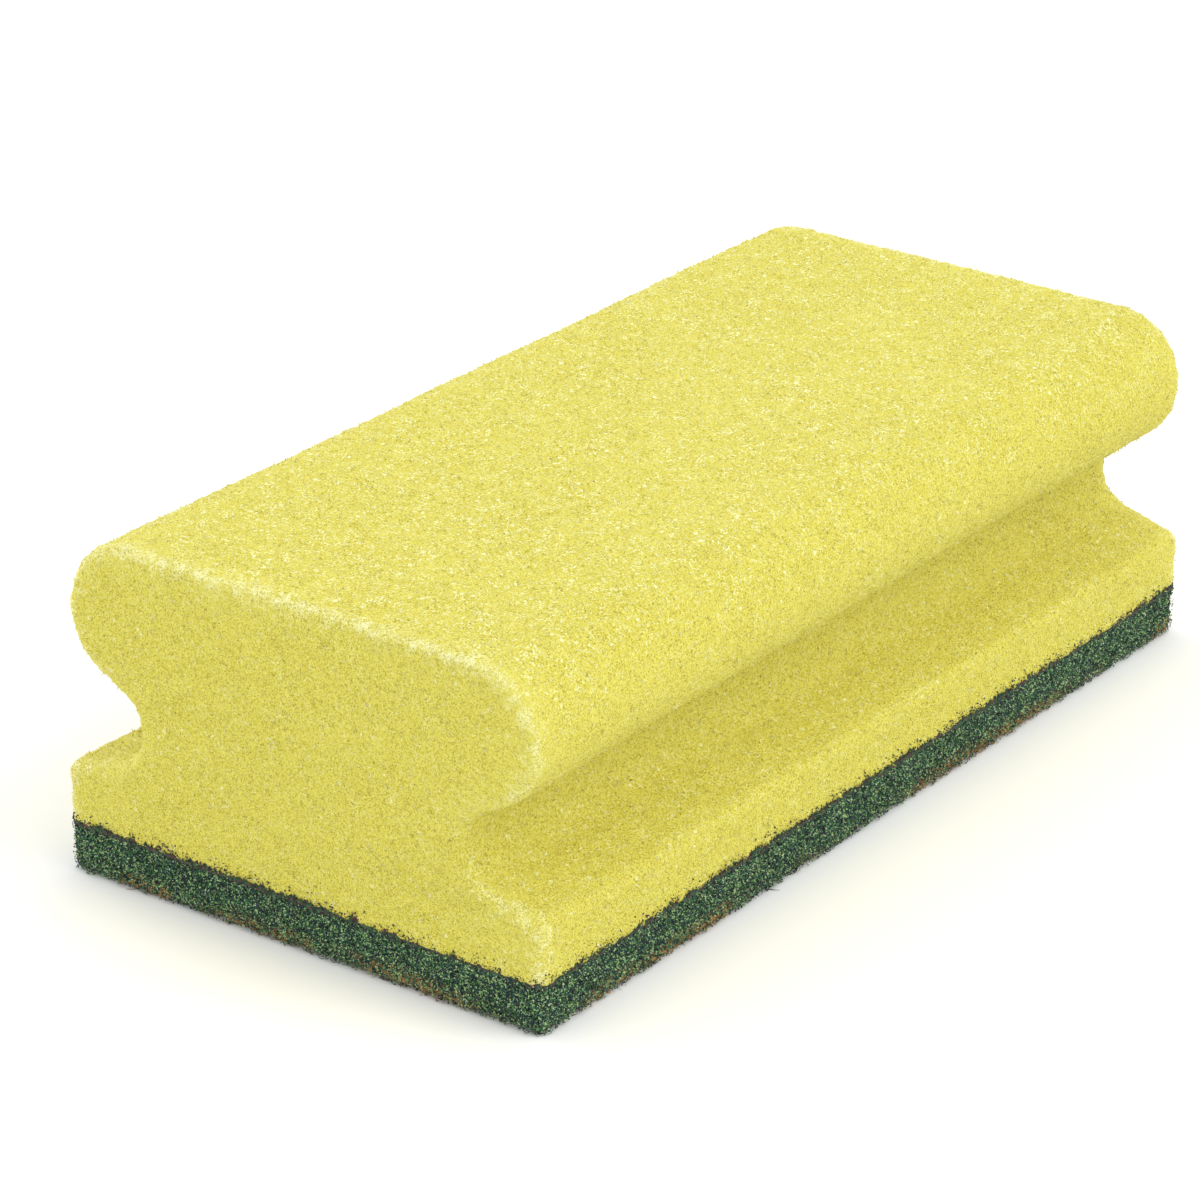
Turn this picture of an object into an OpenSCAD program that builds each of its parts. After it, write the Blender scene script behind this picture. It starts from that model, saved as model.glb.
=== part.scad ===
// Cleaning sponge: a foam grip block with a finger groove along each side,
// bonded by a thin adhesive film to an abrasive fibre pad under it.
// Millimetres. The origin is at the middle of the pad's underside, with X along
// the sponge, Y across it and Z up.

/* [Overall] */
// Length of the sponge, along X
sponge_l = 140; // [90:1:180]
// Width of the pad and of the foam's foot, along Y
foot_w = 70; // [56:1:90]
// Radius, seen from above, of the corners at the ends
corner_r = 1.5; // [0.5:0.25:6]

/* [Scouring pad] */
// Thickness of the fibre pad
pad_t = 6.3; // [3:0.1:12]
// Radius worn on the pad's lower edges
pad_edge_r = 1.2; // [0.4:0.1:2.5]

/* [Adhesive film] */
// Thickness of the adhesive between pad and foam
film_t = 0.3; // [0.1:0.05:1]

/* [Foam block] */
// Height of the foam, from the adhesive to the top face
foam_h = 37.4; // [33:0.1:60]
// How far each side of the head stands in from the foot's side
head_set_in = 1; // [0:0.25:4]
// Radius of the head's shoulders
shoulder_r = 9; // [6:0.25:12]
// Softened radius of the top face's two end edges
end_edge_r = 1.5; // [0.5:0.25:4]

/* [Finger grooves] */
// Depth of each groove, from the head's side to the neck
groove_depth = 10.5; // [6:0.25:18]
// Radius of each groove
groove_r = 5; // [3:0.25:8]
// Straight length between a shoulder and its groove
flank_l = 3.5; // [0:0.25:6]
// Fall of the foot's upper face, away from the groove, in degrees
foot_slope = 15.5; // [5:0.5:30]
// Radius of the foot's upper edge
foot_edge_r = 0.5; // [0.25:0.25:2]

/* [Hidden] */
$fn = 96;

foam_yellow = [0.93, 0.87, 0.30];
pad_green = [0.13, 0.29, 0.22];
film_green = [0.08, 0.14, 0.10];

film_z = pad_t;
foam_z = film_z + film_t;
sponge_h = foam_z + foam_h;
head_w = foot_w - 2 * head_set_in;
// Room by which a cutting or bounding shape runs past what it bounds
spare = 10;

// Centres of the section's circles, as [across, up] from the adhesive's top face.
// A shoulder and its groove bend opposite ways and share one straight flank, so
// their centres lie the hypotenuse of both radii and that flank apart.
shoulder_c = [head_w / 2 - shoulder_r, foam_h - shoulder_r];
groove_y = head_w / 2 - groove_depth + groove_r;
centres_d = norm([shoulder_r + groove_r, flank_l]);
centres_dy = groove_y - shoulder_c[0];
groove_c = [groove_y, shoulder_c[1] - sqrt(centres_d ^ 2 - centres_dy ^ 2)];

// Direction in which the flank faces, seen from the shoulder's centre
flank_a = -acos(centres_dy / centres_d) + atan2(flank_l, shoulder_r + groove_r);
flank_n = [cos(flank_a), sin(flank_a)];
// Direction in which the foot's upper face looks
slope_n = [sin(foot_slope), cos(foot_slope)];
// The foot's edge circle lies under that face, which is tangent to the groove
foot_edge_y = foot_w / 2 - foot_edge_r;
foot_edge_c = [
    foot_edge_y,
    groove_c[1] - (groove_r + foot_edge_r + slope_n[0] * (foot_edge_y - groove_y)) / slope_n[1]
];

// The side of the section where across is positive, without its round stretches
module half_core() {
    polygon([
        [0, 0],
        [foot_w / 2, 0],
        [foot_w / 2, foot_edge_c[1]],
        foot_edge_c,
        foot_edge_c + foot_edge_r * slope_n,
        groove_c - groove_r * slope_n,
        groove_c,
        groove_c - groove_r * flank_n,
        shoulder_c + shoulder_r * flank_n,
        shoulder_c,
        [shoulder_c[0], foam_h],
        [0, foam_h]
    ]);
}

// One side of the foam's section: the head, the groove and the foot
module half_section() {
    difference() {
        union() {
            half_core();
            translate(shoulder_c) circle(r = shoulder_r);
            translate(foot_edge_c) circle(r = foot_edge_r);
        }
        translate(groove_c) circle(r = groove_r);
    }
}

// The foam's whole section
module foam_section() {
    half_section();
    mirror([1, 0]) half_section();
}

// A rectangle about the origin with four round corners
module round_rectangle(size, r) {
    square([size[0], size[1] - 2 * r], center = true);
    square([size[0] - 2 * r, size[1]], center = true);
    for (x = [-1, 1], y = [-1, 1])
        translate([x * (size[0] / 2 - r), y * (size[1] / 2 - r)]) circle(r = r);
}

// A prism of the sponge's length and width w, from z up by h, with the cut corners
module cut_prism(w, z, h) {
    translate([0, 0, z]) linear_extrude(height = h) round_rectangle([sponge_l, w], corner_r);
}

// A slab lying along Y, round along its four edges, with its upper ones at z = top
module slab_along_y(size_x, top, h, r) {
    translate([0, foot_w / 2 + spare, top - h / 2])
        rotate([90, 0, 0])
            linear_extrude(height = foot_w + 2 * spare) round_rectangle([size_x, h], r);
}

// The same, lying along X
module slab_along_x(size_y, top, h, r) {
    translate([-sponge_l / 2 - spare, 0, top - h / 2])
        rotate([90, 0, 90])
            linear_extrude(height = sponge_l + 2 * spare) round_rectangle([size_y, h], r);
}

// The abrasive pad, with its lower edges worn round
module scouring_pad() {
    color(pad_green)
        intersection() {
            cut_prism(foot_w, 0, pad_t);
            slab_along_y(sponge_l, pad_t + spare, pad_t + spare, pad_edge_r);
            slab_along_x(foot_w, pad_t + spare, pad_t + spare, pad_edge_r);
        }
}

// The adhesive, flush with the cut sides
module adhesive_film() {
    color(film_green) cut_prism(foot_w, film_z, film_t);
}

// The foam block: foot and head each end in round corners of their own width, and
// the ends of the top face are softened
module foam_body() {
    color(foam_yellow)
        intersection() {
            translate([-sponge_l / 2, 0, foam_z])
                rotate([90, 0, 90]) linear_extrude(height = sponge_l) foam_section();
            union() {
                cut_prism(foot_w, foam_z, groove_c[1]);
                cut_prism(head_w, foam_z + groove_c[1], foam_h - groove_c[1]);
            }
            slab_along_y(sponge_l, sponge_h, foam_h + spare, end_edge_r);
        }
}

scouring_pad();
adhesive_film();
foam_body();
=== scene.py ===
"""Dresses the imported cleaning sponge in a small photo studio: foam block, adhesive and scouring pad.

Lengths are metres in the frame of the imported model: X along the sponge, Y across it, and Z up from the
underside of the pad.
"""

import logging
import math
from dataclasses import dataclass, field
from enum import Enum
from itertools import product
from typing import NamedTuple

import bpy
import numpy as np
from mathutils import Matrix, Vector
from numpy.typing import NDArray


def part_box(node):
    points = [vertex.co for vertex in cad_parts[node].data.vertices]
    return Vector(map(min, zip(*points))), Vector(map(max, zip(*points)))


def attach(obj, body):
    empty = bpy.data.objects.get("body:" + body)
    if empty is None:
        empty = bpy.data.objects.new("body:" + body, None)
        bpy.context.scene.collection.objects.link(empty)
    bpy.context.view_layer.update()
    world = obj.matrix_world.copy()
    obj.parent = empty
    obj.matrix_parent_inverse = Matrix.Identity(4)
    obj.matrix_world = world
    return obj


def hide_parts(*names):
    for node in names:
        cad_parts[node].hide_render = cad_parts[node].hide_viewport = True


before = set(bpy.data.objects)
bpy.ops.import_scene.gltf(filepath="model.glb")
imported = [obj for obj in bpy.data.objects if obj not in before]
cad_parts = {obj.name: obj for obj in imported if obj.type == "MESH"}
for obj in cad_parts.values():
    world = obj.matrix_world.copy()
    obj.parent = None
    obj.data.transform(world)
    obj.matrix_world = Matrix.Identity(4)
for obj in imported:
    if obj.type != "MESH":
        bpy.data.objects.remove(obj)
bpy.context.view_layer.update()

Points = NDArray[np.float64]
Faces = NDArray[np.int64]
Range = tuple[float, float]
Colour = tuple[float, float, float]
Socket = bpy.types.NodeSocket
Feed = Socket | float | tuple[float, ...]
Feeds = dict[str | int, Feed]
Material = bpy.types.Material
Draws = np.random.Generator

log = logging.getLogger("sponge")

MM = 0.001
HAIR = 0.01 * MM
TINY = 1e-12
CORNER_R = 1.5 * MM
UP = np.array([0.0, 0.0, 1.0])
THREE_WAYS = np.radians([0.0, 120.0, 240.0])
ARC_POINTS = 64
NOISE_VALUES = 8192
NOISE_SHIFT = 1000.0
NOISE_PRIMES = np.array([73856093, 19349663, 83492791])
BAKE_MAP = "OFBake"


class Body(Enum):
    """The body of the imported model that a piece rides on."""

    ROOT = "root"


class Slot(Enum):
    """The material slot of the record that a piece takes its finish from."""

    FOAM = "foam"
    ADHESIVE = "adhesive"
    FIBRE_PAD = "fibre_pad"


class Lay(Enum):
    """Where on the scouring pad a batch of fibres lies."""

    RIM = "rim"
    SOLE = "sole"


class Span(NamedTuple):
    """A stretch of values, and the stretch that it is mapped onto."""

    low: float
    high: float
    first: float = 0.0
    last: float = 1.0


class Layer(NamedTuple):
    """One layer of a surface's unevenness."""

    depth: float
    pitch: float


def lattice_noise(places: Points, pitch: float, seed: int) -> Points:
    """Gives smooth noise between the random values at the knots of a cubic lattice.

    Args:
        places: the points, one a row.
        pitch: the distance between two knots.
        seed: the number that settles the random values.

    Returns:
        One value from -1 to 1 for each point.
    """
    values = np.random.default_rng(seed).uniform(-1.0, 1.0, NOISE_VALUES)
    at = places / pitch + NOISE_SHIFT
    knot = np.floor(at).astype(np.int64)
    part = at - knot
    part = part * part * (3.0 - 2.0 * part)
    total = np.zeros(len(places))
    for corner in product((0, 1), repeat=3):
        mixed = np.bitwise_xor.reduce((knot + corner) * NOISE_PRIMES, axis=1)
        share = np.where(np.array(corner) == 1, part, 1.0 - part).prod(axis=1)
        total += share * values[mixed % NOISE_VALUES]
    return total


def layered_noise(places: Points, layers: tuple[Layer, ...], seed: int) -> Points:
    """Adds up layers of noise whose seeds follow each other."""
    seeded = zip(layers, range(seed, seed + len(layers)), strict=True)
    return sum(layer.depth * lattice_noise(places, layer.pitch, own_seed) for layer, own_seed in seeded)


def arc(centre: Points, radius: float, start: float, end: float) -> Points:
    """Gives points along an arc from one direction to another, in degrees, with both ends among them."""
    turn = np.radians(np.linspace(start, end, ARC_POINTS))
    return centre + radius * np.column_stack([np.cos(turn), np.sin(turn)])


def lengths_along(line: Points) -> Points:
    """Gives how far along a line each of its points lies."""
    return np.concatenate([[0.0], np.cumsum(np.linalg.norm(np.diff(line, axis=0), axis=1))])


def evenly_spaced(line: Points, count: int) -> Points:
    """Sets points at even distances along a line.

    Args:
        line: the line's own points, one a row.
        count: how many stretches the line is parted into.

    Returns:
        The new points, one more than count.
    """
    along = lengths_along(line)
    stops = np.linspace(0.0, along[-1], count + 1)
    return np.column_stack([np.interp(stops, along, column) for column in line.T])


def unit(vectors: Points) -> Points:
    """Gives the vectors at length 1."""
    return vectors / np.maximum(np.linalg.norm(vectors, axis=-1, keepdims=True), TINY)


def three_round(middle: Points, aside: Points, third: Points, radius: Points) -> list[Points]:
    """Gives three points evenly round each middle, in the plane of the directions aside and third."""
    return [middle + radius * (math.cos(turn) * aside + math.sin(turn) * third) for turn in THREE_WAYS]


def quad_normals(points: Points, quads: Faces) -> Points:
    """Gives each quad's normal, as long as twice its area."""
    corners = points[quads]
    return np.cross(corners[:, 2] - corners[:, 0], corners[:, 3] - corners[:, 1])


def point_normals(points: Points, quads: Faces) -> Points:
    """Gives each point's normal.

    Args:
        points: the points, one a row.
        quads: the numbers of each quad's corners.

    Returns:
        The mean normal of the quads round each point, at length 1.
    """
    normals = quad_normals(points, quads)
    total = np.zeros_like(points)
    for corner in quads.T:
        np.add.at(total, corner, normals)
    return unit(total)


def place_grid(across: Points, up: Points) -> Points:
    """Pairs each number across with each number up, in one row of places for each number up."""
    return np.stack(np.broadcast_arrays(across[None], up[:, None]), axis=-1)


def closed(rings: Faces) -> Faces:
    """Ends each row of point numbers with the one that it starts with."""
    return np.column_stack([rings, rings[:, :1]])


def quad_corners(grid: Points) -> Points:
    """Gives the rows of numbers at the corners of the quads between neighbouring entries of a grid."""
    corners = np.stack([grid[:-1, :-1], grid[1:, :-1], grid[1:, 1:], grid[:-1, 1:]], axis=2)
    return corners.reshape(-1, 4, grid.shape[-1])


def grid_quads(index: Faces) -> Faces:
    """Gives the quads between neighbouring entries of a grid of point numbers."""
    return quad_corners(index[..., None])[..., 0]


def bearing(azimuth: float, elevation: float) -> Vector:
    """Gives the direction at an azimuth from the near long side and an elevation, both in degrees."""
    turn, lift = math.radians(azimuth), math.radians(elevation)
    return Vector((math.sin(turn) * math.cos(lift), -math.cos(turn) * math.cos(lift), math.sin(lift)))


def linked(name: str, data: bpy.types.ID) -> bpy.types.Object:
    """Makes an object that shows the data, links it to the scene and gives it."""
    made = bpy.data.objects.new(name, data)
    bpy.context.scene.collection.objects.link(made)
    return made


@dataclass
class Shell:
    """The mesh of one piece while it is made."""

    points: Points
    faces: list[Faces]
    corner_maps: list[Points]
    marks: dict[str, Points] = field(default_factory=dict)
    smooth: bool = True

    def dressed(self, name: str, finish: Material, slot: Slot) -> bpy.types.Object:
        """Makes the piece and gives it its material and its place on the body.

        Args:
            name: the piece's name.
            finish: its material.
            slot: the record's slot that the finish belongs to; not used.

        Returns:
            The piece, linked to the scene, with its bake map and with its marks as attributes.
        """
        mesh = bpy.data.meshes.new(name)
        faces = [face for batch in self.faces for face in batch.tolist()]
        mesh.from_pydata(self.points.tolist(), [], faces, shade_flat=not self.smooth)
        places = np.concatenate([batch.reshape(-1, 2) for batch in self.corner_maps])
        mesh.uv_layers.new(name=BAKE_MAP).uv.foreach_set("vector", places.astype(np.float32).ravel())
        for mark, values in self.marks.items():
            layer = mesh.attributes.new(mark, "FLOAT", "POINT")
            layer.data.foreach_set("value", values.astype(np.float32))
        mesh.validate()
        mesh.materials.append(finish)
        made = linked(name, mesh)
        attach(made, Body.ROOT.value)
        log.info("%s: %d faces", name, len(mesh.polygons))
        return made


def many(
    points: Points, sides: list[Faces], spots: Points, marks: dict[str, Points], smooth: bool = False,
) -> Shell:
    """Joins many like parts, and gives each its own cell of the bake map.

    Args:
        points: the points of each part.
        sides: the faces of one part, those with three corners apart from those with four.
        spots: where the points of a part lie within its cell, from 0 to 1.
        marks: one value for each part under each mark's name.
        smooth: whether the faces are shaded as one smooth surface.

    Returns:
        The parts as one shell.
    """
    count, each = points.shape[:2]
    first = each * np.arange(count)[:, None, None]
    faces = [(first + batch).reshape(-1, batch.shape[1]) for batch in sides]
    per_row = math.ceil(math.sqrt(count))
    cell = np.stack(np.divmod(np.arange(count), per_row), axis=1)[:, None]
    spread = ((cell + spots) / per_row).reshape(-1, 2)
    marks = {name: np.repeat(values, each) for name, values in marks.items()}
    return Shell(points.reshape(-1, 3), faces, [spread[batch] for batch in faces], marks, smooth)


def crumbs(centres: Points, radii: Points, marks: dict[str, Points]) -> Shell:
    """Builds small eight-sided lumps.

    Args:
        centres: the middles of the lumps, one a row.
        radii: how far each lump reaches along X, Y and Z.
        marks: one value for each lump under each mark's name.

    Returns:
        The lumps as one shell.
    """
    knots = np.concatenate([np.eye(3), -np.eye(3)])
    upper = [[0, 1, 2], [1, 3, 2], [3, 4, 2], [4, 0, 2]]
    lower = [[1, 0, 5], [3, 1, 5], [4, 3, 5], [0, 4, 5]]
    spots = np.array([[0.8, 0.5], [0.5, 0.8], [0.45, 0.45], [0.2, 0.5], [0.5, 0.2], [0.55, 0.55]])
    return many(centres[:, None] + knots * radii[:, None], [np.array(upper + lower)], spots, marks)


class Graph:
    """The shader nodes of one material, joined as they are added."""

    def __init__(self, name: str) -> None:
        """Starts a material that has only its output.

        Args:
            name: the material's name.
        """
        self.material = bpy.data.materials.new(name)
        self.material.use_nodes = True
        self.tree = self.material.node_tree
        self.tree.nodes.clear()
        self.output = self.tree.nodes.new("ShaderNodeOutputMaterial")

    def add(self, kind: str, feeds: Feeds, **settings: object) -> bpy.types.Node:
        """Adds a node.

        Args:
            kind: Blender's name of the node's kind.
            feeds: a socket or a constant for each input that gets one.
            **settings: the node's own settings.

        Returns:
            The node.
        """
        node = self.tree.nodes.new(kind)
        for name, value in settings.items():
            setattr(node, name, value)
        for name, feed in feeds.items():
            if isinstance(feed, Socket):
                self.tree.links.new(feed, node.inputs[name])
            else:
                node.inputs[name].default_value = feed
        return node

    def place(self) -> Socket:
        """Gives the place on the piece, in metres."""
        return self.add("ShaderNodeTexCoord", {}).outputs["Object"]

    def mark(self, name: str) -> Socket:
        """Gives the value of one of the piece's marks."""
        return self.add("ShaderNodeAttribute", {}, attribute_name=name).outputs["Fac"]

    def cloud(self, place: Feed, width: float, detail: float = 2.0) -> Socket:
        """Gives soft noise whose patches are about as wide as width."""
        feeds: Feeds = {"Vector": place, "Scale": 1.0 / width, "Detail": detail}
        return self.add("ShaderNodeTexNoise", feeds).outputs["Fac"]

    def cells(self, place: Feed, width: float) -> tuple[Socket, Socket]:
        """Parts space into cells.

        Args:
            place: where on the piece.
            width: the mean width of a cell.

        Returns:
            How far off the cell's middle a place is, in cell widths, and the cell's random number.
        """
        node = self.add("ShaderNodeTexVoronoi", {"Vector": place, "Scale": 1.0 / width})
        draw = self.add("ShaderNodeSeparateColor", {"Color": node.outputs["Color"]})
        return node.outputs["Distance"], draw.outputs["Red"]

    def span(self, value: Feed, span: Span) -> Socket:
        """Maps a value's stretch onto another one, and holds it there at both ends."""
        names = ("Value", "From Min", "From Max", "To Min", "To Max")
        feeds = dict(zip(names, (value, *span), strict=True))
        return self.add("ShaderNodeMapRange", feeds).outputs["Result"]

    def plus(self, a: Feed, b: Feed) -> Socket:
        """Adds two values."""
        return self.add("ShaderNodeMath", {0: a, 1: b}, operation="ADD").outputs[0]

    def times(self, a: Feed, b: Feed) -> Socket:
        """Multiplies two values."""
        return self.add("ShaderNodeMath", {0: a, 1: b}, operation="MULTIPLY").outputs[0]

    def blend(self, share: Feed, under: Feed | Colour, over: Feed | Colour) -> Socket:
        """Lays a colour over another one.

        Args:
            share: how much of the upper colour shows, from 0 to 1.
            under: the lower colour.
            over: the upper colour.

        Returns:
            The mixed colour.
        """
        feeds: Feeds = {0: share, 6: opaque(under), 7: opaque(over)}
        return self.add("ShaderNodeMix", feeds, data_type="RGBA").outputs[2]

    def steps(self, value: Feed, stops: list[tuple[float, Colour]]) -> Socket:
        """Turns a value into a colour of a ramp.

        Args:
            value: the value, from 0 to 1.
            stops: where on the ramp each of its colours is.

        Returns:
            The colour at the value, blended between the two stops beside it.
        """
        node = self.add("ShaderNodeValToRGB", {"Fac": value})
        ramp = node.color_ramp
        for at, _ in stops[len(ramp.elements):]:
            ramp.elements.new(at)
        for element, (at, colour) in zip(ramp.elements, sorted(stops), strict=True):
            element.position = at
            element.color = opaque(colour)
        return node.outputs["Color"]

    def bump(self, height: Feed, depth: float, strength: float) -> Socket:
        """Gives the normal of a surface with a relief as deep as depth."""
        feeds: Feeds = {"Height": height, "Distance": depth, "Strength": strength}
        return self.add("ShaderNodeBump", feeds).outputs["Normal"]

    def finish(
        self, colour: Feed | Colour, roughness: Feed, specular: float, normal: Socket | None = None,
    ) -> Material:
        """Closes the material with its surface shader.

        Args:
            colour: the surface's own colour.
            roughness: how matt it is, from 0 to 1.
            specular: how strongly it mirrors.
            normal: the normal of its relief, where it has one.

        Returns:
            The material.
        """
        feeds: Feeds = {"Base Color": opaque(colour), "Roughness": roughness}
        feeds["Specular IOR Level"] = specular
        if normal is not None:
            feeds["Normal"] = normal
        shader = self.add("ShaderNodeBsdfPrincipled", feeds)
        self.tree.links.new(shader.outputs[0], self.output.inputs["Surface"])
        return self.material


def opaque(colour: Feed | Colour) -> Feed:
    """Gives a plain colour its alpha of 1, and leaves a socket as it is."""
    return (*colour, 1.0) if isinstance(colour, tuple) else colour


@dataclass(frozen=True)
class FoamFinish:
    """Open-cell foam: fine pits in painted shade, cells and cut cell walls with painted highlights, and a
    painted highlight along the cut edges.
    """

    name: str = "open_cell_foam"
    # Painted shade and highlight: the first colour darkens the cells' hollows, and the pale and glint
    # colours are painted highlights.
    pit_shade: Colour = (0.30, 0.23, 0.008)
    body: Colour = (0.62, 0.55, 0.053)
    pale: Colour = (0.74, 0.69, 0.14)
    glint: Colour = (0.92, 0.92, 0.56)
    cell_w: float = 0.23 * MM
    wall_w: float = 0.148 * MM
    cluster_w: float = 2.6 * MM
    cloud_w: float = 8 * MM
    edge_w: float = 1.3 * MM
    spark_w: float = 2.0 * MM
    # Painted shade and highlight: dark in each cell's middle, pale towards its walls, and some cells dark
    # as open holes.
    cell_rise: Span = Span(0.1, 0.62, 0.0, 0.5)
    wall_rise: Span = Span(0.1, 0.7, 0.0, 0.5)
    shaded_holes: Span = Span(0.04, 0.30, 0.70, 0.0)
    # Painted highlight: bright cell clusters, pale haze and round glint dots, all scaled by the painted
    # top light.
    clusters: Span = Span(0.40, 0.70, 0.3, 0.95)
    lit_cells: Span = Span(0.74, 0.92)
    haze: Span = Span(0.35, 0.75, 0.0, 0.26)
    spark_size: Span = Span(0.08, 0.17, 0.9, 0.0)
    spark_choice: Span = Span(0.35, 0.75)
    spark_film: Span = Span(0.0, 1.0, 0.2, 1.0)
    # Painted highlight along the cut edges: a pale sheen, its ragged break-up and the band of glint
    # colour.
    edge_sheen: Span = Span(0.38, 0.62, 0.15, 0.65)
    highlight_breakup: Span = Span(0.3, 0.7, -0.24, 0.16)
    fine_highlight_breakup: Span = Span(0.1, 0.9, -0.22, 0.22)
    edge_highlight_span: Span = Span(0.54, 1.08, 0.0, 0.76)
    roughness: Span = Span(0.0, 1.0, 0.68, 0.92)
    specular: float = 0.3
    relief: float = 0.26 * MM
    relief_strength: float = 0.7

    def material(self) -> Material:
        """Builds the foam's material.

        Returns:
            The material, which reads the marks "edge_highlight", "film" and "tint".
        """
        graph = Graph(self.name)
        place, film, edge_highlight = graph.place(), graph.mark("film"), graph.mark("edge_highlight")
        cell, draw = graph.cells(place, self.cell_w)
        wall, wall_draw = graph.cells(place, self.wall_w)
        # Painted shade in each cell's hollow, and painted highlight towards its walls.
        rise = graph.plus(graph.span(cell, self.cell_rise), graph.span(wall, self.wall_rise))
        colour = graph.steps(rise, [(0.0, self.pit_shade), (0.5, self.body), (1.0, self.pale)])
        # Painted shade: some cells darkened as deep open holes.
        colour = graph.blend(graph.span(wall_draw, self.shaded_holes), colour, self.pit_shade)
        # Painted highlight: clusters of bright cells, strongest under the painted top light.
        cluster = graph.span(graph.cloud(place, self.cluster_w, 1.0), self.clusters)
        shiny = graph.times(graph.span(draw, self.lit_cells), cluster)
        colour = graph.blend(graph.times(shiny, film), colour, self.glint)
        # Pale cloudy patches, painted stronger on upward faces as top light.
        cloud = graph.cloud(place, self.cloud_w)
        colour = graph.blend(graph.times(graph.span(cloud, self.haze), film), colour, self.pale)
        # Painted highlight: sparse round glint dots, fewer where the painted top light is low.
        dot, dot_draw = graph.cells(place, self.spark_w)
        spark = graph.times(graph.span(dot, self.spark_size), graph.span(dot_draw, self.spark_choice))
        spark = graph.times(spark, graph.span(film, self.spark_film))
        colour = graph.blend(spark, colour, self.glint)
        # Painted highlight: the tint mark blends the cell-wall spikes towards glint colour.
        colour = graph.blend(graph.mark("tint"), colour, self.glint)
        # Painted highlight: a pale sheen along the cut edges.
        colour = graph.blend(graph.times(edge_highlight, graph.span(cloud, self.edge_sheen)), colour, self.pale)
        # Painted highlight: a ragged band of glint colour along the cut edges.
        broken_up = graph.span(graph.cloud(place, self.edge_w, 1.0), self.highlight_breakup)
        ragged = graph.plus(broken_up, graph.span(wall_draw, self.fine_highlight_breakup))
        colour = graph.blend(graph.span(graph.plus(edge_highlight, ragged), self.edge_highlight_span), colour, self.glint)
        relief = graph.bump(graph.cloud(place, self.cell_w, 0.0), self.relief, self.relief_strength)
        return graph.finish(colour, graph.span(draw, self.roughness), self.specular, relief)


@dataclass(frozen=True)
class AdhesiveFinish:
    """Adhesive at the seam: nearly black, with green and purple in it."""

    name: str = "squeezed_adhesive"
    dark: Colour = (0.010, 0.028, 0.019)
    green: Colour = (0.046, 0.135, 0.058)
    purple: Colour = (0.105, 0.030, 0.040)
    shades: tuple[float, ...] = (0.25, 0.58, 0.85)
    blotch_w: float = 0.24 * MM
    roughness: Span = Span(0.0, 1.0, 0.55, 0.85)
    specular: float = 0.3
    relief: float = 0.1 * MM
    relief_strength: float = 0.5

    def material(self) -> Material:
        """Builds the adhesive's material.

        Returns:
            The material.
        """
        graph = Graph(self.name)
        off_middle, draw = graph.cells(graph.place(), self.blotch_w)
        stops = list(zip(self.shades, (self.dark, self.green, self.purple), strict=True))
        colour = graph.steps(draw, stops)
        relief = graph.bump(off_middle, self.relief, self.relief_strength)
        return graph.finish(colour, graph.span(draw, self.roughness), self.specular, relief)


@dataclass(frozen=True)
class WebFinish:
    """Resin-bonded fibre web: dark green, with near-black, navy and light grains and brown abrasive."""

    name: str = "abrasive_fibre_web"
    black: Colour = (0.003, 0.008, 0.007)
    navy: Colour = (0.016, 0.040, 0.100)
    dark: Colour = (0.020, 0.104, 0.042)
    green: Colour = (0.084, 0.274, 0.074)
    light: Colour = (0.52, 0.68, 0.32)
    brown: Colour = (0.46, 0.215, 0.045)
    shades: tuple[float, ...] = (0.26, 0.41, 0.56, 0.79, 1.0)
    grain_w: float = 0.155 * MM
    patch_w: float = 14 * MM
    grit_w: float = 0.38 * MM
    grain_shade: Span = Span(0.0, 1.0, -0.62, 0.62)
    patches: Span = Span(0.44, 0.62, 0.06, 1.0)
    grit_choice: Span = Span(0.56, 0.66)
    roughness: Span = Span(0.0, 1.0, 0.4, 0.8)
    specular: float = 0.40
    relief: float = 0.12 * MM
    relief_strength: float = 0.6

    def material(self) -> Material:
        """Builds the web's material.

        Returns:
            The material, which reads the marks "tint" and "grit".
        """
        graph = Graph(self.name)
        place = graph.place()
        off_middle, draw = graph.cells(place, self.grain_w)
        colours = (self.black, self.navy, self.dark, self.green, self.light)
        shade = graph.plus(graph.span(draw, self.grain_shade), graph.mark("tint"))
        colour = graph.steps(shade, list(zip(self.shades, colours, strict=True)))
        patch = graph.span(graph.cloud(place, self.patch_w), self.patches)
        grit_draw = graph.cells(place, self.grit_w)[1]
        chosen = graph.span(grit_draw, self.grit_choice)
        rusty = graph.times(graph.times(graph.mark("grit"), patch), chosen)
        colour = graph.blend(rusty, colour, self.brown)
        relief = graph.bump(off_middle, self.relief, self.relief_strength)
        return graph.finish(colour, graph.span(draw, self.roughness), self.specular, relief)


@dataclass(frozen=True)
class FloorFinish:
    """A matt near-white studio floor."""

    name: str = "studio_floor"
    white: Colour = (0.95, 0.95, 0.945)
    roughness: float = 0.9
    specular: float = 0.1

    def material(self) -> Material:
        """Builds the floor's material."""
        return Graph(self.name).finish(self.white, self.roughness, self.specular)


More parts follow.
